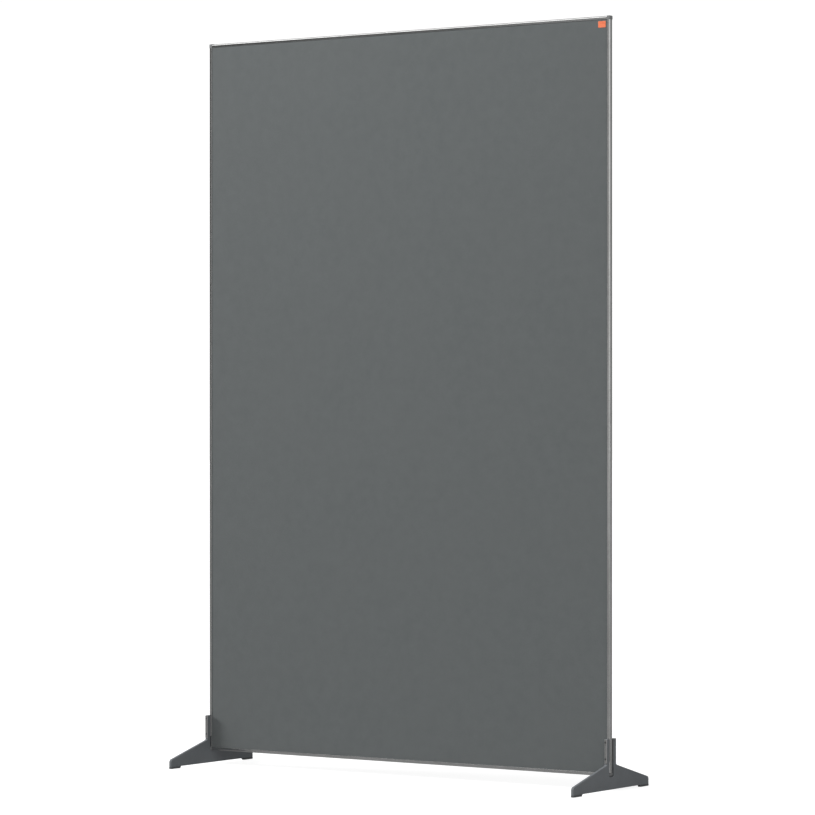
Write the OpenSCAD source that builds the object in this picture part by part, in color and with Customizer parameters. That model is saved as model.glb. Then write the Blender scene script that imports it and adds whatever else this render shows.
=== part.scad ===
// Free-standing felt partition wall on two slotted plate feet.
// Millimetres. Origin on the floor under the middle of the panel, X along its width,
// -Y towards the front, +Z up.

/* [Panel] */
// Width of the framed panel
panel_w = 1200; // [600:10:1600]
// Height of the framed panel
panel_h = 1800; // [900:10:2000]
// Thickness of the frame
panel_t = 13; // [13:0.5:16]
// Gap between the floor and the bottom of the frame
floor_gap = 36; // [36:1:50]
// Thickness of each felt facing
felt_t = 1.2; // [0.8:0.1:1.6]

/* [Frame] */
// Depth of the frame that shows around the felt
lip_depth = 8; // [7.5:0.5:12]
// Wall thickness of the extrusion
wall = 1.3; // [1.2:0.1:1.4]
// Radius of the outer edges of the extrusion
edge_r = 3.5; // [2.5:0.1:3.5]
// Side of the square corner caps
cap_size = 8.5; // [8.5:0.5:12]
// Length of each leg of the corner keys
key_leg = 60; // [45:5:100]

/* [Label] */
// Width of the blank label
label_w = 21; // [10:1:40]
// Height of the blank label
label_h = 15.4; // [8:0.1:30]
// Gap between the label and the frame
label_gap = 3.8; // [2:0.1:20]

/* [Feet] */
// Length of a foot from front to rear
foot_len = 338; // [260:2:420]
// Height of the upright of a foot
foot_h = 125; // [125:1:160]
// Thickness of the foot plate
plate_t = 7; // [7:0.5:8]
// Width of the upright from front to rear
upright_w = 41; // [41:1:60]
// Height of the arms where they meet the upright
arm_root_z = 63; // [55:1:63]
// Height of the arms at their ends
arm_end_z = 22.5; // [20:0.5:30]
// Height of the floor glides
glide_h = 4.8; // [4:0.1:6]
// Length of the floor glides
glide_len = 40; // [34:1:60]

/* [Clamps] */
// Height of the lower clamp screw above the floor
lower_screw_z = 78; // [76:1:84]
// Height of the upper clamp screw above the floor
upper_screw_z = 117; // [110:1:118]
// Diameter of the clamp screws
screw_d = 4.9; // [3.9:0.1:4.9]

/* [Hidden] */
$fn = 48;
eps = 0.1;

// Panel
half_w = panel_w / 2;
half_t = panel_t / 2;
mid_z = floor_gap + panel_h / 2;
board_slot = panel_t - 2 * wall;      // clear width between the lips
web_u = 4.6;                          // start of the web, measured in from the outer face
web_t = 1.2;
board_u = web_u + web_t + 0.2;        // edge of the board, measured in from the outer face
board_play = 0.05;                    // between a felt and a lip
core_t = board_slot - 2 * (felt_t + board_play);
lip_edge_r = 0.6;

// Corners
cap_proud = 1;                        // outwards, past the extrusions
cap_face_proud = 0.3;                 // past the front and rear lips
cap_corner_r = 4.5;
key_u = 1.5;                          // outer face of a key, in from the outer face of the frame
key_t = 3;
key_w = 7.8;
key_play = 0.1;
key_screw_r = 1.95;
key_thread_r = 2;
key_screw_at = 38;                    // along each leg, from the corner of the frame
key_screw_end = 5.4;
web_hole_r = 2.3;

// Label
label_t = 0.8;
label_corner_r = 1.5;

// Foot plate
plate_x = half_w - 6;                 // inner face
foot_half = foot_len / 2;
upright_half = upright_w / 2;
slot_half = half_t + 3;
slot_floor = floor_gap - cap_proud - 0.4;
slot_r = 3;
arm_slope = (arm_root_z - arm_end_z) / (foot_half - upright_half);
arm_lean = sqrt(1 + arm_slope * arm_slope);
end_r = 8;
root_r = 6;
root_y = upright_half + root_r;       // centre of the fillet between an arm and the upright
root_z = arm_z(root_y) + root_r * arm_lean;
end_z = arm_z(foot_half - end_r) - end_r * arm_lean;
arc_steps = 12;
top_chamfer = 1;
screw_clear_r = 2.7;

// Glides
glide_side = 0.3;                     // wider than the plate on each side
glide_chamfer = 3.5;
glide_end_r = 2;
peg_r = 2;
peg_play = 0.05;
peg_len = 9;
peg_inset = 11;                       // from each end of a glide

// Clamp
bar_t = 1.8;
bar_low = root_z + 0.2;
bar_high = foot_h - 0.4;
bar_chamfer = 0.8;
thread_r = screw_d / 2 + 0.05;
strip_t = 2;
strip_low = 72;
strip_high = foot_h - 2;
jaw_gap = 0.3;                        // between the jaws and the frame
strip_y = -half_t - jaw_gap - strip_t;
socket_af = 2.5;
socket_depth = 2.6;
screw_recess = 0.2;
screw_chamfer = 0.4;
point_r = 1.5;
point_len = 1.25;
point_play = 0.15;
touch = 0.05;

function arm_z(y) = arm_root_z - arm_slope * (y - upright_half);

// Mirrors its children to the left when side is -1
module on_side(side) {
    mirror([side < 0 ? 1 : 0, 0, 0]) children();
}

// Mirrors its children to the bottom half of the panel when level is -1
module on_level(level) {
    translate([0, 0, mid_z])
        mirror([0, 0, level < 0 ? 1 : 0])
            children();
}

// Rectangle from u = 0 to depth with rounded corners at u = 0
module round_backed(depth, half, r) {
    translate([r, -half]) square([depth - r, 2 * half]);
    translate([0, r - half]) square([r + eps, 2 * (half - r)]);
    for (s = [-1, 1]) translate([r, s * (half - r)]) circle(r);
}

// Cross-section of the extrusion: u runs inwards from the outer face
module frame_section() {
    difference() {
        union() {
            round_backed(lip_depth - lip_edge_r, half_t, edge_r);
            for (s = [-1, 1]) translate([lip_depth - lip_edge_r, s * (half_t - lip_edge_r)])
                circle(lip_edge_r);
            translate([lip_depth - lip_edge_r - eps, lip_edge_r - half_t])
                square([lip_edge_r + eps, 2 * (half_t - lip_edge_r)]);
        }
        translate([wall, 0])
            round_backed(web_u - wall, half_t - wall, edge_r - wall);
        translate([web_u + web_t, -board_slot / 2])
            square([lip_depth, board_slot]);
    }
}

// Upper rail, with its length along X
module rail() {
    rail_len = panel_w - 2 * cap_size;
    color("silver") difference() {
        translate([-rail_len / 2, 0, panel_h / 2])
            rotate([0, 90, 0])
                linear_extrude(rail_len) frame_section();
        for (s = [-1, 1])
            translate([s * (half_w - key_screw_at), 0, panel_h / 2 - web_u - web_t - eps])
                cylinder(r = web_hole_r, h = web_t + 2 * eps);
    }
}

// Right stile, with its length along Z
module stile() {
    stile_len = panel_h - 2 * cap_size;
    color("silver") difference() {
        translate([half_w, 0, -stile_len / 2])
            mirror([1, 0, 0])
                linear_extrude(stile_len) frame_section();
        for (s = [-1, 1])
            translate([half_w - web_u - web_t - eps, 0, s * (panel_h / 2 - key_screw_at)])
                rotate([0, 90, 0]) cylinder(r = web_hole_r, h = web_t + 2 * eps);
    }
}

// L-shaped strip in the upper right corner; grow widens it for the passage in the cap
module key_shape(grow, length) {
    w = key_w + 2 * grow;
    t = key_t + 2 * grow;
    translate([half_w - length, -w / 2, panel_h / 2 - key_u - key_t - grow])
        cube([length - key_u + grow, w, t]);
    translate([half_w - key_u - key_t - grow, -w / 2, panel_h / 2 - length])
        cube([t, w, length - key_u + grow]);
}

// Runs its children once for each leg of the upper right key, drawn along -Z from the outer face
module key_screw_places() {
    translate([half_w - key_screw_at, 0, panel_h / 2]) children();
    translate([half_w, 0, panel_h / 2 - key_screw_at]) rotate([0, 90, 0]) children();
}

module corner_key() {
    color("silver") difference() {
        key_shape(0, key_leg);
        key_screw_places()
            translate([0, 0, -key_u - key_t - eps]) cylinder(r = key_thread_r, h = key_t + 2 * eps);
    }
}

module corner_cap() {
    reach = cap_size + cap_proud;
    half = half_t + cap_face_proud;
    out_x = half_w + cap_proud;
    out_z = panel_h / 2 + cap_proud;
    color("dimgray") difference() {
        intersection() {
            translate([out_x, half, out_z]) rotate([90, 0, 0]) linear_extrude(2 * half) {
                translate([-reach, -reach]) square([reach, reach - cap_corner_r]);
                translate([-reach, -cap_corner_r - eps])
                    square([reach - cap_corner_r, cap_corner_r + eps]);
                translate([-cap_corner_r, -cap_corner_r]) circle(cap_corner_r);
            }
            translate([out_x, 0, out_z - reach])
                mirror([1, 0, 0]) linear_extrude(reach) round_backed(reach, half, edge_r);
            translate([out_x - reach, 0, out_z])
                rotate([0, 90, 0]) linear_extrude(reach) round_backed(reach, half, edge_r);
        }
        key_shape(key_play, key_leg);
        translate([half_w - reach - web_u - web_t, -board_slot / 2,
                panel_h / 2 - reach - web_u - web_t])
            cube([reach, board_slot, reach]);
    }
}

module key_screws() {
    color("dimgray")
        for (side = [-1, 1], level = [-1, 1])
            on_side(side) on_level(level) key_screw_places()
                translate([0, 0, -key_screw_end])
                    cylinder(r = key_screw_r, h = key_screw_end - wall - touch);
}

// Board or felt that fills the frame between two depths
module sheet(y, t) {
    translate([board_u - half_w, y, board_u - panel_h / 2])
        cube([panel_w - 2 * board_u, t, panel_h - 2 * board_u]);
}

module core_board() {
    color("tan") on_level(1) sheet(-core_t / 2, core_t);
}

module front_felt() {
    color("#5e6463") on_level(1) sheet(-core_t / 2 - felt_t, felt_t);
}

module back_felt() {
    color("#5e6463") on_level(1) sheet(core_t / 2, felt_t);
}

module blank_label() {
    color("#e2643f")
        on_level(1)
            translate([half_w - lip_depth - label_gap - label_w, -core_t / 2 - felt_t,
                    panel_h / 2 - lip_depth - label_gap - label_h])
                rotate([90, 0, 0]) linear_extrude(label_t) {
                    translate([label_corner_r, 0])
                        square([label_w - 2 * label_corner_r, label_h]);
                    translate([0, label_corner_r])
                        square([label_w, label_h - 2 * label_corner_r]);
                    for (x = [label_corner_r, label_w - label_corner_r],
                            z = [label_corner_r, label_h - label_corner_r])
                        translate([x, z]) circle(label_corner_r);
                }
}

// Points on an arc, both ends included
function arc(centre, r, from, to) =
    [for (i = [0:arc_steps]) let (a = from + (to - from) * i / arc_steps)
        centre + r * [cos(a), sin(a)]];

// Rear half of the foot's outline, from the sole up to the middle of the slot: x is +Y, y is +Z
function foot_half_outline() = concat(
    [[foot_half, glide_h]],
    arc([foot_half - end_r, end_z], end_r, 0, 90 - atan(arm_slope)),
    arc([root_y, root_z], root_r, 270 - atan(arm_slope), 180),
    [[upright_half, foot_h - top_chamfer],
     [upright_half - top_chamfer, foot_h],
     [slot_half, foot_h]],
    arc([slot_half - slot_r, slot_floor + slot_r], slot_r, 0, -90));

function mirrored(points) =
    [for (i = [len(points) - 1:-1:0]) [-points[i][0], points[i][1]]];

// Centres of the pegs of the glide at the rear
function peg_places() = [foot_half - glide_len + peg_inset, foot_half - peg_inset];

module foot_plate() {
    color("#5a6166") difference() {
        translate([plate_x, 0, 0]) rotate([90, 0, 90]) linear_extrude(plate_t)
            polygon(concat(foot_half_outline(), mirrored(foot_half_outline())));
        for (s = [-1, 1], y = peg_places())
            translate([plate_x + plate_t / 2, s * y, glide_h - eps])
                cylinder(r = peg_r + peg_play, h = peg_len + 0.5 + eps);
        for (z = [lower_screw_z, upper_screw_z])
            translate([plate_x + plate_t / 2, -slot_half + eps, z])
                rotate([90, 0, 0]) cylinder(r = screw_clear_r, h = upright_half);
    }
}

// Glide under the rear end of the right foot
module glide() {
    tip = foot_half - glide_end_r;
    color("#45494c") {
        translate([plate_x - glide_side, 0, 0])
            rotate([90, 0, 90]) linear_extrude(plate_t + 2 * glide_side) {
                polygon([
                    [foot_half - glide_len, glide_h],
                    [foot_half - glide_len + glide_chamfer, 0],
                    [tip, 0],
                    [tip, glide_end_r],
                    [foot_half, glide_end_r],
                    [foot_half, glide_h]]);
                translate([tip, glide_end_r]) circle(glide_end_r);
            }
        for (y = peg_places())
            translate([plate_x + plate_t / 2, y, glide_h - eps])
                cylinder(r = peg_r, h = peg_len + eps);
    }
}

module front_glide() {
    mirror([0, 1, 0]) glide();
}

module clamp_bar() {
    color("gainsboro") difference() {
        translate([plate_x, -upright_half, bar_low])
            linear_extrude(bar_high - bar_low) polygon([
                [0, 0], [0, bar_chamfer - bar_t], [bar_chamfer, -bar_t],
                [plate_t - bar_chamfer, -bar_t], [plate_t, bar_chamfer - bar_t], [plate_t, 0]]);
        for (z = [lower_screw_z, upper_screw_z])
            translate([plate_x + plate_t / 2, -upright_half + eps, z])
                rotate([90, 0, 0]) cylinder(r = thread_r, h = bar_t + 2 * eps);
    }
}

// Set screw along Y: socket at the front, dog point in the pressure strip
module clamp_screw(z) {
    front_y = -upright_half - bar_t + screw_recess;
    shoulder_y = strip_y - touch;
    color("darkgray")
        translate([plate_x + plate_t / 2, front_y, z]) rotate([-90, 0, 0]) difference() {
            union() {
                cylinder(r1 = screw_d / 2 - screw_chamfer, r2 = screw_d / 2, h = screw_chamfer);
                translate([0, 0, screw_chamfer])
                    cylinder(r = screw_d / 2, h = shoulder_y - front_y - screw_chamfer);
                translate([0, 0, shoulder_y - front_y - eps])
                    cylinder(r = point_r, h = point_len + eps);
            }
            translate([0, 0, -eps])
                cylinder(r = socket_af / sqrt(3), h = socket_depth + eps, $fn = 6);
        }
}

module pressure_strip() {
    color("silver") difference() {
        translate([plate_x, strip_y, strip_low])
            cube([plate_t, strip_t, strip_high - strip_low]);
        for (z = [lower_screw_z, upper_screw_z])
            translate([plate_x + plate_t / 2, strip_y - eps, z])
                rotate([-90, 0, 0]) cylinder(r = point_r + point_play, h = point_len + 2 * eps);
    }
}

module jaw_pad() {
    color("#63676a")
        translate([plate_x, half_t + jaw_gap, strip_low])
            cube([plate_t, slot_half - half_t - jaw_gap, strip_high - strip_low]);
}

on_level(1) rail();  // top_rail
on_level(-1) rail();  // bottom_rail
on_side(-1) on_level(1) stile();  // left_stile
on_level(1) stile();  // right_stile
on_side(-1) on_level(1) corner_cap();  // upper_left_corner_cap
on_level(1) corner_cap();  // upper_right_corner_cap
on_side(-1) on_level(-1) corner_cap();  // lower_left_corner_cap
on_level(-1) corner_cap();  // lower_right_corner_cap
on_side(-1) on_level(1) corner_key();  // upper_left_corner_key
on_level(1) corner_key();  // upper_right_corner_key
on_side(-1) on_level(-1) corner_key();  // lower_left_corner_key
on_level(-1) corner_key();  // lower_right_corner_key
key_screws();
core_board();
front_felt();
back_felt();
blank_label();
on_side(-1) foot_plate();  // left_foot_plate
foot_plate();  // right_foot_plate
on_side(-1) front_glide();  // left_front_glide
on_side(-1) glide();  // left_rear_glide
front_glide();  // right_front_glide
glide();  // right_rear_glide
on_side(-1) clamp_bar();  // left_clamp_bar
clamp_bar();  // right_clamp_bar
on_side(-1) clamp_screw(upper_screw_z);  // left_upper_clamp_screw
on_side(-1) clamp_screw(lower_screw_z);  // left_lower_clamp_screw
clamp_screw(upper_screw_z);  // right_upper_clamp_screw
clamp_screw(lower_screw_z);  // right_lower_clamp_screw
on_side(-1) pressure_strip();  // left_pressure_strip
pressure_strip();  // right_pressure_strip
on_side(-1) jaw_pad();  // left_jaw_pad
jaw_pad();  // right_jaw_pad
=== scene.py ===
import math

import bmesh
import bpy
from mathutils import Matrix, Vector, noise


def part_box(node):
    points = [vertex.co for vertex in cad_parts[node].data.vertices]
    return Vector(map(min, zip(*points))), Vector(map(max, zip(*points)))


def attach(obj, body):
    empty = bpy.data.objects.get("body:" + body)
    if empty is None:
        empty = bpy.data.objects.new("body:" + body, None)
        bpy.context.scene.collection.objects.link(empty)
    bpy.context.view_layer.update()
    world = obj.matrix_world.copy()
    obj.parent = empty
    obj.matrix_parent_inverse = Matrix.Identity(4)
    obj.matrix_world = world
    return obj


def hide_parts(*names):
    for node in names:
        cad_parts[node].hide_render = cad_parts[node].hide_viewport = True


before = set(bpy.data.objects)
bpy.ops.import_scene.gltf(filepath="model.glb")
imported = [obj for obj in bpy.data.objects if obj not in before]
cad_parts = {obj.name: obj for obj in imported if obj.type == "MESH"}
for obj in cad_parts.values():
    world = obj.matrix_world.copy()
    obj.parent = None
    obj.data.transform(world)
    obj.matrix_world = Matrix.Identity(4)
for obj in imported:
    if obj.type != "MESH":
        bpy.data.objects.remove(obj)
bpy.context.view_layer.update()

# Free-standing felt partition wall on two slotted plate feet.
# Meshes are drawn in millimetres and scaled to metres when a piece is made. X runs along the
# panel's width, -Y towards the front, +Z up from the floor.
MM = 0.001
SIDES = {"left": -1, "right": 1}
LEVELS = {"lower": -1, "upper": 1}


def box_mm(node):
    """Lowest and highest corner of a CAD node, in millimetres."""
    low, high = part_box(node)
    return low / MM, high / MM


# How far a cutting tool runs past the face it cuts
OVERCUT = 1

# Panel, from the frame of the CAD model
LEFT = box_mm("left_stile")[0].x
RIGHT = box_mm("right_stile")[1].x
BOTTOM = box_mm("bottom_rail")[0].z
TOP = box_mm("top_rail")[1].z
MIDDLE = (BOTTOM + TOP) / 2
HALF_H = (TOP - BOTTOM) / 2
HALF_T = box_mm("top_rail")[1].y

# Extrusion: u runs inwards from the outer face
LIP_DEPTH = 8
WALL = 1.3
EDGE_R = 3.5
LIP_EDGE_R = 0.6
LIP_INNER_R = 0.25
WEB_U = 4.6
WEB_T = 1.2
SLOT_HALF = HALF_T - WALL
WEB_HOLE_R = 2.3
KEY_SCREW_AT = 38

# Corner caps
CAP_PROUD = 1
CAP_FACE_PROUD = 0.3
CAP_CORNER_R = 4.5
CAP_BEVEL = 0.18
KEY_U = 1.4
KEY_T = 3.2
KEY_HALF = 4
KEY_PASSAGE = 20

# Felt; each wave is its length along X and along Z, its seed and its weight
FELT_BULGE = 0.32
FELT_RISE = 3
FELT_WAVE = 0.1
FELT_WAVES = ((170, 230, 5, 1), (60, 75, 9, 0.5))
FELT_STEPS = (0, 1.4, 2.2, 3, 4.2, 6, 9, 13, 18, 26)
FELT_PITCH = 11

# Label
LABEL_R = 1.7
LABEL_BEVEL = 0.25

# Foot plate
END_R = 8
ROOT_R = 6
ARM_ROOT_Z = 63
ARM_END_Z = 22.5
TOP_CHAMFER = 1
PRONG_INNER = 9.5
SLOT_FLOOR = 34.6
SLOT_R = 3
PLATE_BEVEL = 0.55
BORE_R = 2.7

# Glides
GLIDE_CHAMFER = 3.5
GLIDE_END_R = 2
GLIDE_BEVEL = 0.4
GLIDE_H = 4.8
PEG_R = 2
PEG_INSET = 11
PEG_LENGTH = 9
PEG_ROOT = 0.5
PEG_CLEARANCE = 0.05
PEG_BORE_SPARE = 0.5
SCUFF_HEIGHT = 1.6

# Clamp
BAR_CHAMFER = 0.8
BAR_BEVEL = 0.22
THREAD_R = 2.5
SCREW_R = 2.42
THREAD_DEPTH = 0.28
THREAD_PITCH = 0.8
THREAD_ROWS = 4
CREST_BAND = 0.05
SCREW_SIDES = 32
SCREW_CHAMFER = 0.45
SOCKET_AF = 2.5
SOCKET_DEPTH = 2.6
MOUTH_SPARE = 0.05
MOUTH_DEPTH = 0.15
POINT_R = 1.5
POINT_LENGTH = 1.25
POINT_CHAMFER = 0.2
POINT_BORE_R = 1.65
POINT_BORE_SPARE = 0.1
STRIP_BEVEL = 0.35
RIB_PITCH = 3
RIB_DEPTH = 0.7
RIB_STEPS = 8
PAD_BEVEL = 0.25

# Camera, at the place and angle of the picture
CAMERA_PLACE = (5.1452, -7.3660, 0.8972)
CAMERA_TURN = 34.87
CAMERA_LENS = 161.33
CAMERA_SENSOR = 36
CAMERA_SHIFT_Y = 0.00605
CAMERA_REACH = 200

# Studio; each glow is its direction, the cosine where it starts and its strength
WORLD_BASE = 0.1
WORLD_GLOWS = (
    ((0.75, 0.65, 0.1), 0.3, 0.2),
    ((0, 0, 1), 0.1, 0.3),
    ((0.88, -0.46, 0.1), 0.4, 1.05),
)
WORLD_SEEN = 1.05
FLOOR_RADIUS = 60
FLOOR_DROP = 0.0002
FLOOR_SHADE = 0.36
FLOOR_LIFT = 0.85
KEY_FROM = (-0.86, -0.32, 0.42)
KEY_STRENGTH = 3.4
KEY_ANGLE = 22


# ---------------------------------------------------------------- meshes

def arc(centre, radius, start, end, steps=10):
    """Points on an arc, both ends included; the angles are in degrees."""
    points = []
    for i in range(steps + 1):
        angle = math.radians(start + (end - start) * i / steps)
        points.append((centre[0] + radius * math.cos(angle),
                       centre[1] + radius * math.sin(angle)))
    return points


def circle(centre, radius, steps=32):
    return arc(centre, radius, 0, 360, steps)[:-1]


def prism(outline, start, end, place, holes=()):
    """Solid between two depths; place(u, v, w) puts a point of the outline at depth w."""
    bm = bmesh.new()
    ends = []
    for w in (start, end):
        loops = [outline, *holes]
        ends.append([[bm.verts.new(place(u, v, w)) for u, v in loop] for loop in loops])
    for near, far in zip(*ends):
        for i in range(len(near)):
            bm.faces.new((near[i - 1], near[i], far[i], far[i - 1]))
    for loops in ends:
        if holes:
            rim = [bm.edges.get((loop[i - 1], loop[i])) for loop in loops for i in range(len(loop))]
            bmesh.ops.triangle_fill(bm, use_beauty=True, edges=rim)
        else:
            bm.faces.new(loops[0])
    bmesh.ops.recalc_face_normals(bm, faces=bm.faces)
    return bm


def soften(bm, width, segments=2, angle=30):
    """Rounds every edge sharper than the angle, and marks the new faces as rim."""
    rim = bm.faces.layers.float.get("rim") or bm.faces.layers.float.new("rim")
    sharp = [e for e in bm.edges if len(e.link_faces) == 2
             and abs(e.calc_face_angle(0)) > math.radians(angle)]
    made = bmesh.ops.bevel(bm, geom=sharp, offset=width, offset_type="OFFSET",
                           segments=segments, profile=0.5, affect="EDGES", clamp_overlap=True)
    for face in made["faces"]:
        face[rim] = 1
    return bm


def loose_object(bm):
    mesh = bpy.data.meshes.new("loose")
    bm.to_mesh(mesh)
    bm.free()
    thing = bpy.data.objects.new("loose", mesh)
    bpy.context.scene.collection.objects.link(thing)
    return thing


def combine(bm, tools, operation="DIFFERENCE"):
    """Cuts the tools from bm, or keeps what they share, with exact booleans."""
    base = loose_object(bm)
    others = [loose_object(tool) for tool in tools]
    for other in others:
        boolean = base.modifiers.new("boolean", "BOOLEAN")
        boolean.operation = operation
        boolean.solver = "EXACT"
        boolean.object = other
    graph = bpy.context.evaluated_depsgraph_get()
    result = bpy.data.meshes.new_from_object(base.evaluated_get(graph), depsgraph=graph)
    out = bmesh.new()
    out.from_mesh(result)
    bpy.data.meshes.remove(result)
    for thing in (base, *others):
        mesh = thing.data
        bpy.data.objects.remove(thing)
        bpy.data.meshes.remove(mesh)
    return out


def piece(name, bm, material, body, sharp=32):
    """Makes a finished piece from a mesh in millimetres; it replaces the CAD node of its name."""
    bmesh.ops.recalc_face_normals(bm, faces=bm.faces)
    bmesh.ops.scale(bm, vec=(MM, MM, MM), verts=bm.verts)
    mesh = bpy.data.meshes.new(name + "_skin")
    bm.to_mesh(mesh)
    bm.free()
    mesh.polygons.foreach_set("use_smooth", [True] * len(mesh.polygons))
    mesh.set_sharp_from_angle(angle=math.radians(sharp))
    mesh.materials.append(material)
    thing = bpy.data.objects.new(name + "_skin", mesh)
    bpy.context.scene.collection.objects.link(thing)
    weighted = thing.modifiers.new("normals", "WEIGHTED_NORMAL")
    weighted.keep_sharp = True
    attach(thing, body)
    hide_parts(name)
    return thing


# ---------------------------------------------------------------- materials

class Shader:
    """A Principled material whose nodes read the object coordinates, which are in metres."""

    def __init__(self, name, **constants):
        self.material = bpy.data.materials.new(name)
        self.material.use_nodes = True
        self.tree = self.material.node_tree
        self.surface = self.tree.nodes["Principled BSDF"]
        self.place = self.add("ShaderNodeTexCoord").outputs["Object"]
        self.normal = None
        for socket, value in constants.items():
            self.surface.inputs[socket.replace("_", " ")].default_value = value

    def add(self, kind, **settings):
        node = self.tree.nodes.new(kind)
        for key, value in settings.items():
            setattr(node, key, value)
        return node

    def link(self, source, socket):
        if hasattr(source, "is_linked"):
            self.tree.links.new(source, socket)
        else:
            socket.default_value = source

    def noise(self, size, detail=2.0, roughness=0.5, distortion=0.0, stretch=(1, 1, 1),
              turn=(0, 0, 0)):
        """Noise from 0 to 1 whose features are about size millimetres, times stretch per axis."""
        mapping = self.add("ShaderNodeMapping", vector_type="TEXTURE")
        self.link(self.place, mapping.inputs["Vector"])
        mapping.inputs["Rotation"].default_value = [math.radians(a) for a in turn]
        mapping.inputs["Scale"].default_value = stretch
        texture = self.add("ShaderNodeTexNoise")
        self.link(mapping.outputs["Vector"], texture.inputs["Vector"])
        texture.inputs["Scale"].default_value = 1 / (size * MM)
        texture.inputs["Detail"].default_value = detail
        texture.inputs["Roughness"].default_value = roughness
        texture.inputs["Distortion"].default_value = distortion
        return texture.outputs["Fac"]

    def attribute(self, name):
        return self.add("ShaderNodeAttribute", attribute_name=name).outputs["Fac"]

    def axis(self, index):
        split = self.add("ShaderNodeSeparateXYZ")
        self.link(self.place, split.inputs["Vector"])
        return split.outputs[index]

    def remap(self, value, low, high, start=0.0, end=1.0):
        """start..end of value becomes low..high, clamped."""
        node = self.add("ShaderNodeMapRange")
        self.link(value, node.inputs["Value"])
        for socket, number in (("From Min", start), ("From Max", end),
                               ("To Min", low), ("To Max", high)):
            node.inputs[socket].default_value = number
        return node.outputs["Result"]

    def math(self, operation, first, second=0.0):
        node = self.add("ShaderNodeMath", operation=operation)
        self.link(first, node.inputs[0])
        self.link(second, node.inputs[1])
        return node.outputs["Value"]

    def mix(self, factor, first, second):
        node = self.add("ShaderNodeMix", data_type="RGBA")
        self.link(factor, node.inputs["Factor"])
        self.link(first, node.inputs[6])
        self.link(second, node.inputs[7])
        return node.outputs[2]

    def colour(self, source):
        self.link(source, self.surface.inputs["Base Color"])

    def rough(self, source):
        self.link(source, self.surface.inputs["Roughness"])

    def bump(self, height, depth, strength=1.0):
        """Adds relief of depth millimetres; several calls stack."""
        node = self.add("ShaderNodeBump")
        node.inputs["Strength"].default_value = strength
        node.inputs["Distance"].default_value = depth * MM
        self.link(height, node.inputs["Height"])
        if self.normal:
            self.link(self.normal, node.inputs["Normal"])
        self.normal = node.outputs["Normal"]
        self.link(self.normal, self.surface.inputs["Normal"])


def grey(value, tint=(1, 1, 1)):
    return (value * tint[0], value * tint[1], value * tint[2], 1)


def aluminium(name, along):
    """Satin anodised extrusion with faint die lines along one axis."""
    s = Shader(name, Metallic=1.0)
    stretch = [1, 1, 1]
    stretch[along] = 300
    lines = s.noise(0.35, detail=3, stretch=stretch)
    haze = s.noise(45, detail=3, roughness=0.6)
    smudge = s.noise(160, detail=2)
    s.colour(s.mix(s.remap(haze, 0, 1, 0.35, 0.65),
                   grey(0.48, (1, 1.004, 0.995)), grey(0.53, (1, 1.004, 1.0))))
    s.rough(s.math("ADD", s.remap(lines, 0.18, 0.24, 0.3, 0.7),
                   s.remap(smudge, -0.02, 0.03, 0.35, 0.65)))
    s.bump(lines, 0.006, 0.5)
    return s.material


def cap_plastic():
    """Moulded corner piece with a fine eroded texture."""
    s = Shader("cap_plastic", Specular_IOR_Level=0.45)
    grain = s.noise(0.35, detail=2)
    cloud = s.noise(9, detail=2)
    body = s.mix(s.remap(cloud, 0, 1, 0.3, 0.7), grey(0.15, (1, 1.02, 1.03)),
                 grey(0.18, (1, 1.02, 1.03)))
    s.colour(s.mix(s.math("MULTIPLY", s.attribute("rim"), 0.35), body, grey(0.3)))
    s.rough(s.remap(grain, 0.46, 0.62, 0.3, 0.7))
    s.bump(grain, 0.03, 0.6)
    return s.material


def felt():
    """Needled felt: short fibres lying every way over a finely matted ground."""
    s = Shader("grey_felt", Roughness=0.95, Specular_IOR_Level=0.15, Sheen_Weight=0.12,
               Sheen_Roughness=0.5)
    ground = s.noise(0.6, detail=3, roughness=0.7)
    strands = [s.noise(0.32, detail=1.5, distortion=0.35, stretch=(13, 1, 1), turn=(0, turn, 0))
               for turn in (14, 58, 97, 146)]
    mottle = s.noise(26, detail=3, roughness=0.6)
    drift = s.noise(240, detail=2)
    dark = grey(0.112, (0.95, 1.03, 1.04))
    pale = grey(0.124, (0.95, 1.03, 1.04))
    base = s.mix(s.remap(mottle, 0, 1, 0.3, 0.7), dark, pale)
    base = s.mix(s.remap(drift, 0, 0.3, 0.35, 0.65), base, grey(0.122, (0.96, 1.02, 1.02)))
    hairs = s.math("MAXIMUM", strands[0], strands[1])
    for strand in strands[2:]:
        hairs = s.math("MAXIMUM", hairs, strand)
    base = s.mix(s.remap(ground, 0.45, 0, 0.35, 0.6), base, grey(0.085, (0.95, 1.03, 1.05)))
    base = s.mix(s.remap(hairs, 0, 0.5, 0.62, 0.8), base, grey(0.19, (0.96, 1.02, 1.03)))
    s.colour(base)
    s.bump(ground, 0.25, 0.5)
    s.bump(hairs, 0.16, 0.7)
    return s.material


def core_board():
    """Porous fibre board."""
    s = Shader("core_board", Roughness=0.9, Specular_IOR_Level=0.2)
    flakes = s.noise(3, detail=4, roughness=0.7, distortion=0.8)
    s.colour(s.mix(s.remap(flakes, 0, 1, 0.3, 0.7), (0.52, 0.41, 0.28, 1), (0.7, 0.58, 0.43, 1)))
    s.bump(flakes, 0.3, 0.6)
    return s.material


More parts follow.
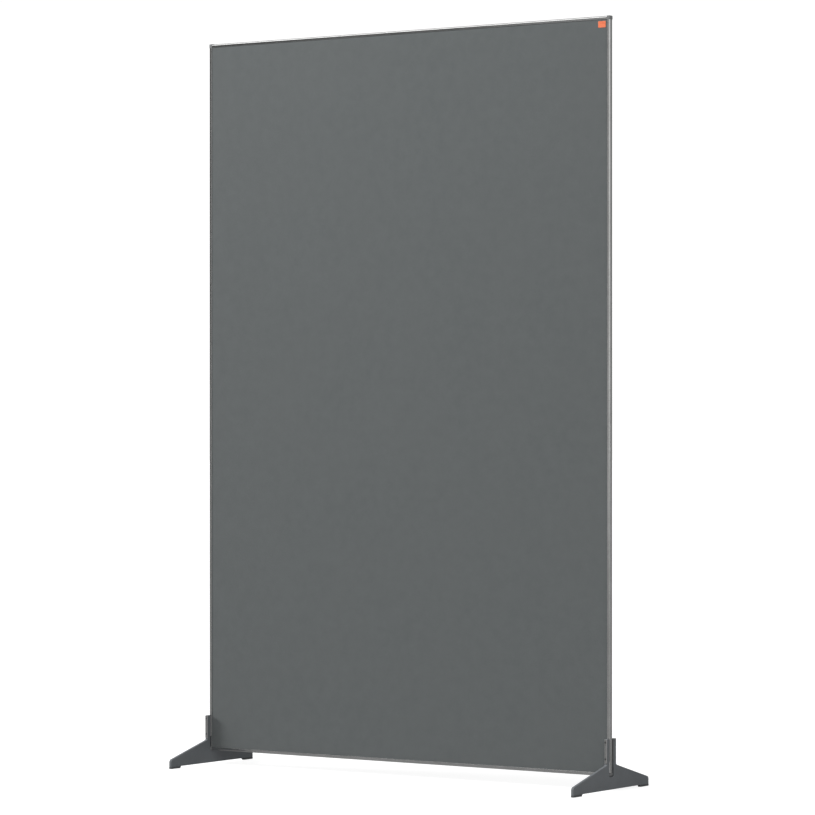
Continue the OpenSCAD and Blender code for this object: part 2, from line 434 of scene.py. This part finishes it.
def foot_paint():
    """Powder coat: fine pebbled skin, rubbed a little brighter along the rims."""
    s = Shader("foot_paint", Specular_IOR_Level=0.5)
    pebble = s.noise(0.7, detail=1.5)
    skin = s.noise(3.2, detail=2)
    cloud = s.noise(50, detail=3, roughness=0.6)
    tint = (0.93, 1.0, 1.06)
    body = s.mix(s.remap(cloud, 0, 1, 0.3, 0.7), grey(0.146, tint), grey(0.164, tint))
    body = s.mix(s.remap(pebble, 0, 0.5, 0.5, 0.75), body, grey(0.184, tint))
    rub = s.math("MULTIPLY", s.attribute("rim"), s.remap(s.noise(6, detail=4), 0.05, 0.4, 0.45, 0.7))
    s.colour(s.mix(rub, body, grey(0.19, tint)))
    s.rough(s.remap(skin, 0.5, 0.64, 0.3, 0.7))
    s.bump(skin, 0.06, 0.35)
    s.bump(pebble, 0.04, 0.5)
    return s.material


def glide_rubber():
    """Dense rubber, dusty and scuffed where it meets the floor."""
    s = Shader("glide_rubber", Specular_IOR_Level=0.4)
    grain = s.noise(0.5, detail=2)
    scuff = s.noise(1.6, detail=4, roughness=0.7, stretch=(1, 4, 1))
    low = s.remap(s.axis(2), 1, 0, 0, SCUFF_HEIGHT * MM)
    body = s.mix(s.remap(grain, 0, 1, 0.3, 0.7), grey(0.085, (0.95, 1, 1.04)),
                 grey(0.11, (0.95, 1, 1.04)))
    worn = s.math("MULTIPLY", low, s.remap(scuff, 0, 0.8, 0.4, 0.7))
    s.colour(s.mix(worn, body, grey(0.17, (1.02, 1, 0.97))))
    s.rough(s.remap(grain, 0.62, 0.8, 0.3, 0.7))
    s.bump(grain, 0.04, 0.5)
    return s.material


def zinc_steel(name="zinc_steel", shade=0.45):
    """Zinc plated steel with a cloudy passivated skin."""
    s = Shader(name, Metallic=1.0)
    spangle = s.noise(2.4, detail=3, roughness=0.6)
    brushed = s.noise(0.25, detail=2, stretch=(1, 1, 40))
    s.colour(s.mix(s.remap(spangle, 0, 1, 0.3, 0.7), grey(shade * 0.92, (1, 1, 0.98)),
                   grey(shade, (1, 1.005, 1.01))))
    s.rough(s.math("ADD", s.remap(spangle, 0.26, 0.38, 0.3, 0.7), s.remap(brushed, -0.03, 0.03)))
    s.bump(brushed, 0.01, 0.4)
    return s.material


def screw_steel():
    """Plated screw steel, dull in the grooves and rubbed bright on the crests of the thread."""
    s = Shader("screw_steel", Metallic=0.9)
    patch = s.noise(1.2, detail=3)
    bright = s.math("MULTIPLY", s.attribute("rim"), s.remap(patch, 0.1, 0.6, 0.35, 0.7))
    body = s.mix(s.remap(patch, 0, 1, 0.3, 0.7), grey(0.23), grey(0.3))
    s.colour(s.mix(bright, body, grey(0.5)))
    s.rough(s.remap(patch, 0.34, 0.5, 0.3, 0.7))
    s.bump(patch, 0.01, 0.4)
    return s.material


def jaw_rubber():
    s = Shader("jaw_rubber", Specular_IOR_Level=0.35)
    grain = s.noise(0.4, detail=2)
    s.colour(s.mix(s.remap(grain, 0, 1, 0.3, 0.7), grey(0.1), grey(0.14)))
    s.rough(s.remap(grain, 0.66, 0.82, 0.3, 0.7))
    s.bump(grain, 0.04, 0.5)
    return s.material


def label_plastic():
    """Plain orange tag: moulded gloss plastic with a faint flow pattern and a paler orange colour on
    its bevelled rim.
    """
    s = Shader("label_plastic", Coat_Weight=0.25, Coat_Roughness=0.12)
    flow = s.noise(5, detail=3, stretch=(3, 1, 1))
    grain = s.noise(0.5, detail=2)
    body = s.mix(s.remap(flow, 0, 1, 0.3, 0.7), (0.72, 0.15, 0.062, 1), (0.84, 0.21, 0.095, 1))
    s.colour(s.mix(s.math("MULTIPLY", s.attribute("rim"), 0.5), body, (0.9, 0.4, 0.26, 1)))
    s.rough(s.remap(grain, 0.3, 0.42, 0.3, 0.7))
    s.bump(grain, 0.01, 0.4)
    return s.material


# ---------------------------------------------------------------- panel

def extrusion_section():
    """Outline and chamber of the frame: u runs inwards from the outer face, v across."""
    t = HALF_T
    rear = []
    rear += arc((EDGE_R, -t + EDGE_R), EDGE_R, 180, 270)
    rear += arc((LIP_DEPTH - LIP_EDGE_R, -t + LIP_EDGE_R), LIP_EDGE_R, 270, 360, 5)
    rear += arc((LIP_DEPTH - LIP_INNER_R, -SLOT_HALF - LIP_INNER_R), LIP_INNER_R, 0, 90, 3)
    rear += [(WEB_U + WEB_T, -SLOT_HALF)]
    chamber_r = EDGE_R - WALL
    chamber = arc((EDGE_R, -t + EDGE_R), chamber_r, 180, 270, 6) + [(WEB_U, -SLOT_HALF)]
    return mirrored_across(rear), mirrored_across(chamber)


def mirrored_across(points):
    """Closes half an outline with its own reflection in v."""
    return points + [(u, -v) for u, v in reversed(points)]


def make_extrusions(materials):
    outline, chamber = extrusion_section()
    places = {
        "top_rail": (0, lambda u, v, w: (w, v, TOP - u)),
        "bottom_rail": (0, lambda u, v, w: (w, v, BOTTOM + u)),
        "left_stile": (2, lambda u, v, w: (LEFT + u, v, w)),
        "right_stile": (2, lambda u, v, w: (RIGHT - u, v, w)),
    }
    for name, (axis, place) in places.items():
        low, high = box_mm(name)
        bm = prism(outline, low[axis], high[axis], place, [chamber])
        ends = (LEFT, RIGHT) if axis == 0 else (BOTTOM, TOP)
        holes = []
        for end, inwards in zip(ends, (1, -1)):
            hole = circle((end + inwards * KEY_SCREW_AT, 0), WEB_HOLE_R, 24)
            holes.append(prism(hole, WEB_U - OVERCUT, WEB_U + WEB_T + OVERCUT,
                               lambda a, b, w, place=place: place(w, b, a)))
        bm = combine(bm, holes)
        piece(name, bm, materials[axis], "root")


def make_caps(material):
    """Each cap is what three rounded profiles share, less the passages of its key."""
    half = HALF_T + CAP_FACE_PROUD
    reach = RIGHT - box_mm("top_rail")[1].x + CAP_PROUD
    out_x = RIGHT + CAP_PROUD
    out_z = HALF_H + CAP_PROUD
    back = mirrored_across(arc((EDGE_R, -half + EDGE_R), EDGE_R, 180, 270) + [(reach, -half)])
    corner = arc((out_x - CAP_CORNER_R, out_z - CAP_CORNER_R), CAP_CORNER_R, 0, 90, 12)
    corner += [(out_x - reach, out_z), (out_x - reach, out_z - reach), (out_x, out_z - reach)]
    for level, up in LEVELS.items():
        for side, out in SIDES.items():
            def at(x, y, z, out=out, up=up):
                return (out * x, y, MIDDLE + up * z)

            bm = prism(corner, -half, half, lambda u, v, w: at(u, w, v))
            upright = prism(back, out_z - reach, out_z, lambda u, v, w: at(out_x - u, v, w))
            across = prism(back, out_x - reach, out_x, lambda u, v, w: at(w, v, out_z - u))
            bm = combine(bm, [upright, across], "INTERSECT")
            soften(bm, CAP_BEVEL, angle=40)
            leg = [(-KEY_HALF, KEY_U), (KEY_HALF, KEY_U), (KEY_HALF, KEY_U + KEY_T),
                   (-KEY_HALF, KEY_U + KEY_T)]
            level_leg = prism(leg, RIGHT - KEY_PASSAGE, RIGHT - KEY_U,
                              lambda u, v, w: at(w, u, HALF_H - v))
            upright_leg = prism(leg, HALF_H - KEY_PASSAGE, HALF_H - KEY_U,
                                lambda u, v, w: at(RIGHT - v, u, w))
            bm = combine(bm, [level_leg, upright_leg])
            piece(f"{level}_{side}_corner_cap", bm, material, "root")


def felt_lines(low, high):
    """Grid lines of a felt in one direction, close together near the frame."""
    near = [low + step for step in FELT_STEPS]
    far = [high - step for step in reversed(FELT_STEPS)]
    count = round((far[0] - near[-1]) / FELT_PITCH)
    middle = [near[-1] + (far[0] - near[-1]) * i / count for i in range(1, count)]
    return near + middle + far


def make_felt(name, facing, material):
    """Thin closed sheet, tucked under the lips and crowned slightly where it shows."""
    low, high = box_mm(name)
    columns = felt_lines(low.x, high.x)
    rows = felt_lines(low.z, high.z)
    tucked = LIP_DEPTH - (low.x - LEFT)
    outer_y = high.y if facing > 0 else low.y
    inner_y = low.y if facing > 0 else high.y

    def crown(x, z):
        inset = min(x - low.x, high.x - x, z - low.z, high.z - z) - tucked
        if inset <= 0:
            return 0
        rise = 1 - math.exp(-inset / FELT_RISE)
        wave = 0
        for long_x, long_z, seed, weight in FELT_WAVES:
            wave += weight * noise.noise(Vector((x / long_x, facing * seed, z / long_z)))
        return rise * (FELT_BULGE + FELT_WAVE * wave)

    bm = bmesh.new()
    layers = []
    for outer in (True, False):
        grid = []
        for z in rows:
            line = []
            for x in columns:
                y = outer_y + facing * crown(x, z) if outer else inner_y
                line.append(bm.verts.new((x, y, z)))
            grid.append(line)
        for j in range(len(rows) - 1):
            for i in range(len(columns) - 1):
                bm.faces.new((grid[j][i], grid[j][i + 1], grid[j + 1][i + 1], grid[j + 1][i]))
        rim = grid[0] + [line[-1] for line in grid[1:]]
        rim += grid[-1][-2::-1] + [line[0] for line in grid[-2:0:-1]]
        layers.append(rim)
    front, back = layers
    for i in range(len(front)):
        bm.faces.new((front[i - 1], front[i], back[i], back[i - 1]))
    thing = piece(name, bm, material, "root", sharp=60)


def make_label(material):
    low, high = box_mm("blank_label")
    corners = ((low.x, low.z, 180), (high.x, low.z, 270), (high.x, high.z, 0), (low.x, high.z, 90))
    outline = []
    for x, z, start in corners:
        centre = (x + LABEL_R * (1 if x == low.x else -1), z + LABEL_R * (1 if z == low.z else -1))
        outline += arc(centre, LABEL_R, start, start + 90, 8)
    bm = prism(outline, low.y, high.y, lambda u, v, w: (u, w, v))
    soften(bm, LABEL_BEVEL, 3)
    piece("blank_label", bm, material, "root")


# ---------------------------------------------------------------- feet

def foot_outline(low, high):
    """Outline of a plate seen along X: u is Y and v is Z; the sole is at low.z."""
    half = high.y
    upright = -box_mm("left_clamp_bar")[1].y
    slope = (ARM_ROOT_Z - ARM_END_Z) / (half - upright)
    lean = math.sqrt(1 + slope * slope)
    tilt = math.degrees(math.atan(slope))

    def arm_z(y):
        return ARM_ROOT_Z - slope * (y - upright)

    end = (half - END_R, arm_z(half - END_R) - END_R * lean)
    root = (upright + ROOT_R, arm_z(upright + ROOT_R) + ROOT_R * lean)
    rear = [(half, low.z)]
    rear += arc(end, END_R, 0, 90 - tilt)
    rear += arc(root, ROOT_R, 270 - tilt, 180)
    rear += [(upright, high.z - TOP_CHAMFER), (upright - TOP_CHAMFER, high.z)]
    rear += [(PRONG_INNER, high.z)]
    rear += arc((PRONG_INNER - SLOT_R, SLOT_FLOOR + SLOT_R), SLOT_R, 0, -90, 8)
    return rear + [(-y, z) for y, z in reversed(rear)]


def across_x(u, v, w):
    return (w, u, v)


def along_y(u, v, w):
    return (u, w, v)


def upwards(u, v, w):
    return (u, v, w)


def peg_places(glide):
    """Middle of each peg of a glide, as (x, y)."""
    low, high = box_mm(glide)
    middle = (low.x + high.x) / 2
    return [(middle, low.y + PEG_INSET), (middle, high.y - PEG_INSET)]


def screw_places(side):
    """Centre of each clamp screw of a foot, as (x, z)."""
    places = []
    for level in LEVELS:
        low, high = box_mm(f"{side}_{level}_clamp_screw")
        places.append(((low.x + high.x) / 2, (low.z + high.z) / 2))
    return places


def make_foot_plate(side, material):
    low, high = box_mm(side + "_foot_plate")
    bm = prism(foot_outline(low, high), low.x, high.x, across_x)
    soften(bm, PLATE_BEVEL, 3)
    cuts = []
    for end in ("front", "rear"):
        for place in peg_places(f"{side}_{end}_glide"):
            cuts.append(prism(circle(place, PEG_R + PEG_CLEARANCE), low.z - OVERCUT,
                              low.z + PEG_LENGTH + PEG_BORE_SPARE, upwards))
    for place in screw_places(side):
        cuts.append(prism(circle(place, BORE_R), -high.y / 2, 0, along_y))
    piece(side + "_foot_plate", combine(bm, cuts), material, side + "_foot")


def make_glide(side, end, material):
    """Block with a sloped inner end and a round outer end, and two pegs."""
    name = f"{side}_{end}_glide"
    low, high = box_mm(name)
    facing = 1 if end == "rear" else -1
    tip, heel = (high.y, low.y) if end == "rear" else (low.y, high.y)
    outline = [(heel, GLIDE_H), (heel + facing * GLIDE_CHAMFER, 0)]
    nose = arc((0, GLIDE_END_R), GLIDE_END_R, 270, 360, 8)
    outline += [(tip + facing * (u - GLIDE_END_R), v) for u, v in nose]
    outline += [(tip, GLIDE_H)]
    bm = soften(prism(outline, low.x, high.x, across_x), GLIDE_BEVEL, 3)
    for place in peg_places(name):
        peg = prism(circle(place, PEG_R), GLIDE_H - PEG_ROOT, GLIDE_H + PEG_LENGTH, upwards)
        bm = combine(bm, [peg], "UNION")
    piece(name, bm, material, side + "_foot")


def make_clamp_bar(side, material):
    low, high = box_mm(side + "_clamp_bar")
    outline = [(low.x, high.y), (low.x, low.y + BAR_CHAMFER), (low.x + BAR_CHAMFER, low.y),
               (high.x - BAR_CHAMFER, low.y), (high.x, low.y + BAR_CHAMFER), (high.x, high.y)]
    bm = soften(prism(outline, low.z, high.z, upwards), BAR_BEVEL, 3)
    cuts = []
    for place in screw_places(side):
        cuts.append(prism(circle(place, THREAD_R), low.y - OVERCUT, high.y + OVERCUT, along_y))
    piece(side + "_clamp_bar", combine(bm, cuts), material, side + "_foot")


def make_clamp_screw(side, level, material):
    """Set screw with a rolled thread, a hex socket at the front and a dog point at the rear."""
    name = f"{side}_{level}_clamp_screw"
    low, high = box_mm(name)
    x, z = (low.x + high.x) / 2, (low.z + high.z) / 2
    length = high.y - low.y
    shank = length - POINT_LENGTH
    bm = bmesh.new()
    rim = bm.faces.layers.float.new("rim")
    rows = round(shank / (THREAD_PITCH / THREAD_ROWS))
    rings = []

    def ring(y, radius_at):
        made = []
        for k in range(SCREW_SIDES):
            turn = k / SCREW_SIDES
            radius = radius_at(turn)
            angle = 2 * math.pi * turn
            made.append(bm.verts.new((x + radius * math.cos(angle), low.y + y,
                                      z + radius * math.sin(angle))))
        rings.append(made)

    for row in range(rows + 1):
        depth = shank * row / rows

        def radius_at(turn, depth=depth):
            crest = abs((depth / THREAD_PITCH + turn) % 1 - 0.5) * 2
            body = SCREW_R - THREAD_DEPTH * crest
            taper = SCREW_R - SCREW_CHAMFER + min(depth, shank - depth)
            return min(body, taper)

        ring(depth, radius_at)
    for depth in (shank, length - POINT_CHAMFER):
        ring(depth, lambda turn: POINT_R)
    ring(length, lambda turn: POINT_R - POINT_CHAMFER)
    for near, far in zip(rings, rings[1:]):
        for k in range(SCREW_SIDES):
            face = bm.faces.new((near[k - 1], near[k], far[k], far[k - 1]))
            outermost = max(math.hypot(v.co.x - x, v.co.z - z) for v in face.verts)
            face[rim] = 1 if outermost > SCREW_R - CREST_BAND else 0
    bm.faces.new(rings[0])
    bm.faces.new(rings[-1])
    bmesh.ops.recalc_face_normals(bm, faces=bm.faces)
    corner = SOCKET_AF / math.sqrt(3)
    start = low.y - OVERCUT
    socket = prism(circle((x, z), corner, 6), start, low.y + SOCKET_DEPTH, along_y)
    mouth = prism(circle((x, z), corner + MOUTH_SPARE, 24), start, low.y + MOUTH_DEPTH, along_y)
    bm = combine(bm, [socket, mouth])
    piece(name, bm, material, f"{side}_{level}_clamp_screw")


def make_pressure_strip(side, material):
    name = side + "_pressure_strip"
    low, high = box_mm(name)
    outline = [(low.x, low.z), (high.x, low.z), (high.x, high.z), (low.x, high.z)]
    bm = soften(prism(outline, low.y, high.y, along_y), STRIP_BEVEL, 3)
    cuts = []
    for place in screw_places(side):
        cuts.append(prism(circle(place, POINT_BORE_R), low.y - OVERCUT,
                          low.y + POINT_LENGTH + POINT_BORE_SPARE, along_y))
    piece(name, combine(bm, cuts), material, name)


def make_jaw_pad(side, material):
    """Rubber pad with level ribs towards the frame."""
    name = side + "_jaw_pad"
    low, high = box_mm(name)
    count = round((high.z - low.z) / RIB_PITCH)
    outline = [(high.y, high.z), (high.y, low.z)]
    for i in range(count * RIB_STEPS + 1):
        z = low.z + (high.z - low.z) * i / (count * RIB_STEPS)
        groove = RIB_DEPTH * max(0, math.cos(2 * math.pi * i / RIB_STEPS)) ** 2
        outline.append((low.y + groove, z))
    bm = soften(prism(outline, low.x, high.x, across_x), PAD_BEVEL, angle=50)
    piece(name, bm, material, side + "_foot")


# ---------------------------------------------------------------- studio

def make_floor():
    """Pale floor; seen by the camera it is lifted towards white, as on a lit sweep."""
    bm = bmesh.new()
    bmesh.ops.create_circle(bm, cap_ends=True, radius=FLOOR_RADIUS, segments=96)
    mesh = bpy.data.meshes.new("floor")
    bm.to_mesh(mesh)
    bm.free()
    floor = bpy.data.objects.new("floor", mesh)
    floor.location.z = -FLOOR_DROP
    bpy.context.scene.collection.objects.link(floor)
    s = Shader("pale_floor", Roughness=0.9, Specular_IOR_Level=0.1)
    s.colour(grey(FLOOR_SHADE))
    ray = s.add("ShaderNodeLightPath").outputs["Is Camera Ray"]
    s.surface.inputs["Emission Color"].default_value = grey(1)
    s.link(s.math("MULTIPLY", ray, FLOOR_LIFT), s.surface.inputs["Emission Strength"])
    mesh.materials.append(s.material)


def make_world():
    """Dim studio walls, brighter overhead and in front; white where the camera sees them."""
    world = bpy.data.worlds.new("studio")
    world.use_nodes = True
    bpy.context.scene.world = world
    tree = world.node_tree
    background = tree.nodes["Background"]

    def add(kind, **settings):
        node = tree.nodes.new(kind)
        for key, value in settings.items():
            setattr(node, key, value)
        return node

    direction = add("ShaderNodeTexCoord").outputs["Generated"]

    def glow(towards, start, strength):
        """Brightness that grows from 0 where the direction leaves start to strength."""
        dot = add("ShaderNodeVectorMath", operation="DOT_PRODUCT")
        tree.links.new(direction, dot.inputs[0])
        dot.inputs[1].default_value = Vector(towards).normalized()
        ramp = add("ShaderNodeMapRange", interpolation_type="SMOOTHSTEP")
        tree.links.new(dot.outputs["Value"], ramp.inputs["Value"])
        ramp.inputs["From Min"].default_value = start
        ramp.inputs["From Max"].default_value = 1
        ramp.inputs["To Max"].default_value = strength
        return ramp.outputs["Result"]

    total = None
    for towards, start, strength in WORLD_GLOWS:
        part = glow(towards, start, strength)
        if total is None:
            total = part
            continue
        plus = add("ShaderNodeMath", operation="ADD")
        tree.links.new(total, plus.inputs[0])
        tree.links.new(part, plus.inputs[1])
        total = plus.outputs["Value"]
    lift = add("ShaderNodeMath", operation="ADD")
    tree.links.new(total, lift.inputs[0])
    lift.inputs[1].default_value = WORLD_BASE
    seen = add("ShaderNodeMix", data_type="FLOAT")
    tree.links.new(add("ShaderNodeLightPath").outputs["Is Camera Ray"], seen.inputs["Factor"])
    tree.links.new(lift.outputs["Value"], seen.inputs["A"])
    seen.inputs["B"].default_value = WORLD_SEEN
    tree.links.new(seen.outputs["Result"], background.inputs["Strength"])
    background.inputs["Color"].default_value = grey(1)


def make_softbox(name, place, aim, size, power):
    light = bpy.data.lights.new(name, "AREA")
    light.shape = "RECTANGLE"
    light.size, light.size_y = size
    light.energy = power
    thing = bpy.data.objects.new(name, light)
    thing.location = place
    thing.rotation_euler = (Vector(aim) - Vector(place)).to_track_quat("-Z", "Y").to_euler()
    bpy.context.scene.collection.objects.link(thing)


def make_sun(name, source, strength, angle):
    """Broad key light; like a light behind a flag, it isn't mirrored in the metal."""
    light = bpy.data.lights.new(name, "SUN")
    light.energy = strength
    light.angle = math.radians(angle)
    thing = bpy.data.objects.new(name, light)
    thing.rotation_euler = (-Vector(source)).to_track_quat("-Z", "Y").to_euler()
    thing.visible_glossy = False
    bpy.context.scene.collection.objects.link(thing)


def make_camera():
    data = bpy.data.cameras.new("camera")
    data.lens = CAMERA_LENS
    data.sensor_width = CAMERA_SENSOR
    data.shift_y = CAMERA_SHIFT_Y
    data.clip_end = CAMERA_REACH
    camera = bpy.data.objects.new("camera", data)
    camera.location = CAMERA_PLACE
    camera.rotation_euler = (math.radians(90), 0, math.radians(CAMERA_TURN))
    bpy.context.scene.collection.objects.link(camera)
    bpy.context.scene.camera = camera


make_camera()
make_world()
make_floor()
make_sun("key", KEY_FROM, KEY_STRENGTH, KEY_ANGLE)
make_softbox("front_card", place=(-0.25, -3.4, 1.55), aim=(-0.25, 0, 1.55), size=(2.6, 2.3),
             power=10)
make_softbox("top_front", place=(-1.0, -1.9, 3.5), aim=(-0.4, 0, 1.6), size=(3.4, 1.8), power=52)

extruded = {axis: aluminium("frame_aluminium_" + "xyz"[axis], axis) for axis in (0, 2)}
make_extrusions(extruded)
make_caps(cap_plastic())
felted = felt()
make_felt("front_felt", -1, felted)
make_felt("back_felt", 1, felted)
make_label(label_plastic())

paint = foot_paint()
rubber = glide_rubber()
zinc = zinc_steel()
screw = screw_steel()
pad = jaw_rubber()
for side in SIDES:
    make_foot_plate(side, paint)
    for end in ("front", "rear"):
        make_glide(side, end, rubber)
    make_clamp_bar(side, zinc)
    for level in LEVELS:
        make_clamp_screw(side, level, screw)
    make_pressure_strip(side, zinc)
    make_jaw_pad(side, pad)

# Hidden pieces keep their CAD shapes
carried = {"core_board": core_board(), "key_screws": screw}
key_steel = zinc_steel("key_steel", 0.6)
for level in LEVELS:
    for side in SIDES:
        carried[f"{level}_{side}_corner_key"] = key_steel
for node, material in carried.items():
    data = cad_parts[node].data
    data.materials.clear()
    data.materials.append(material)

bpy.context.scene.view_settings.view_transform = "Standard"
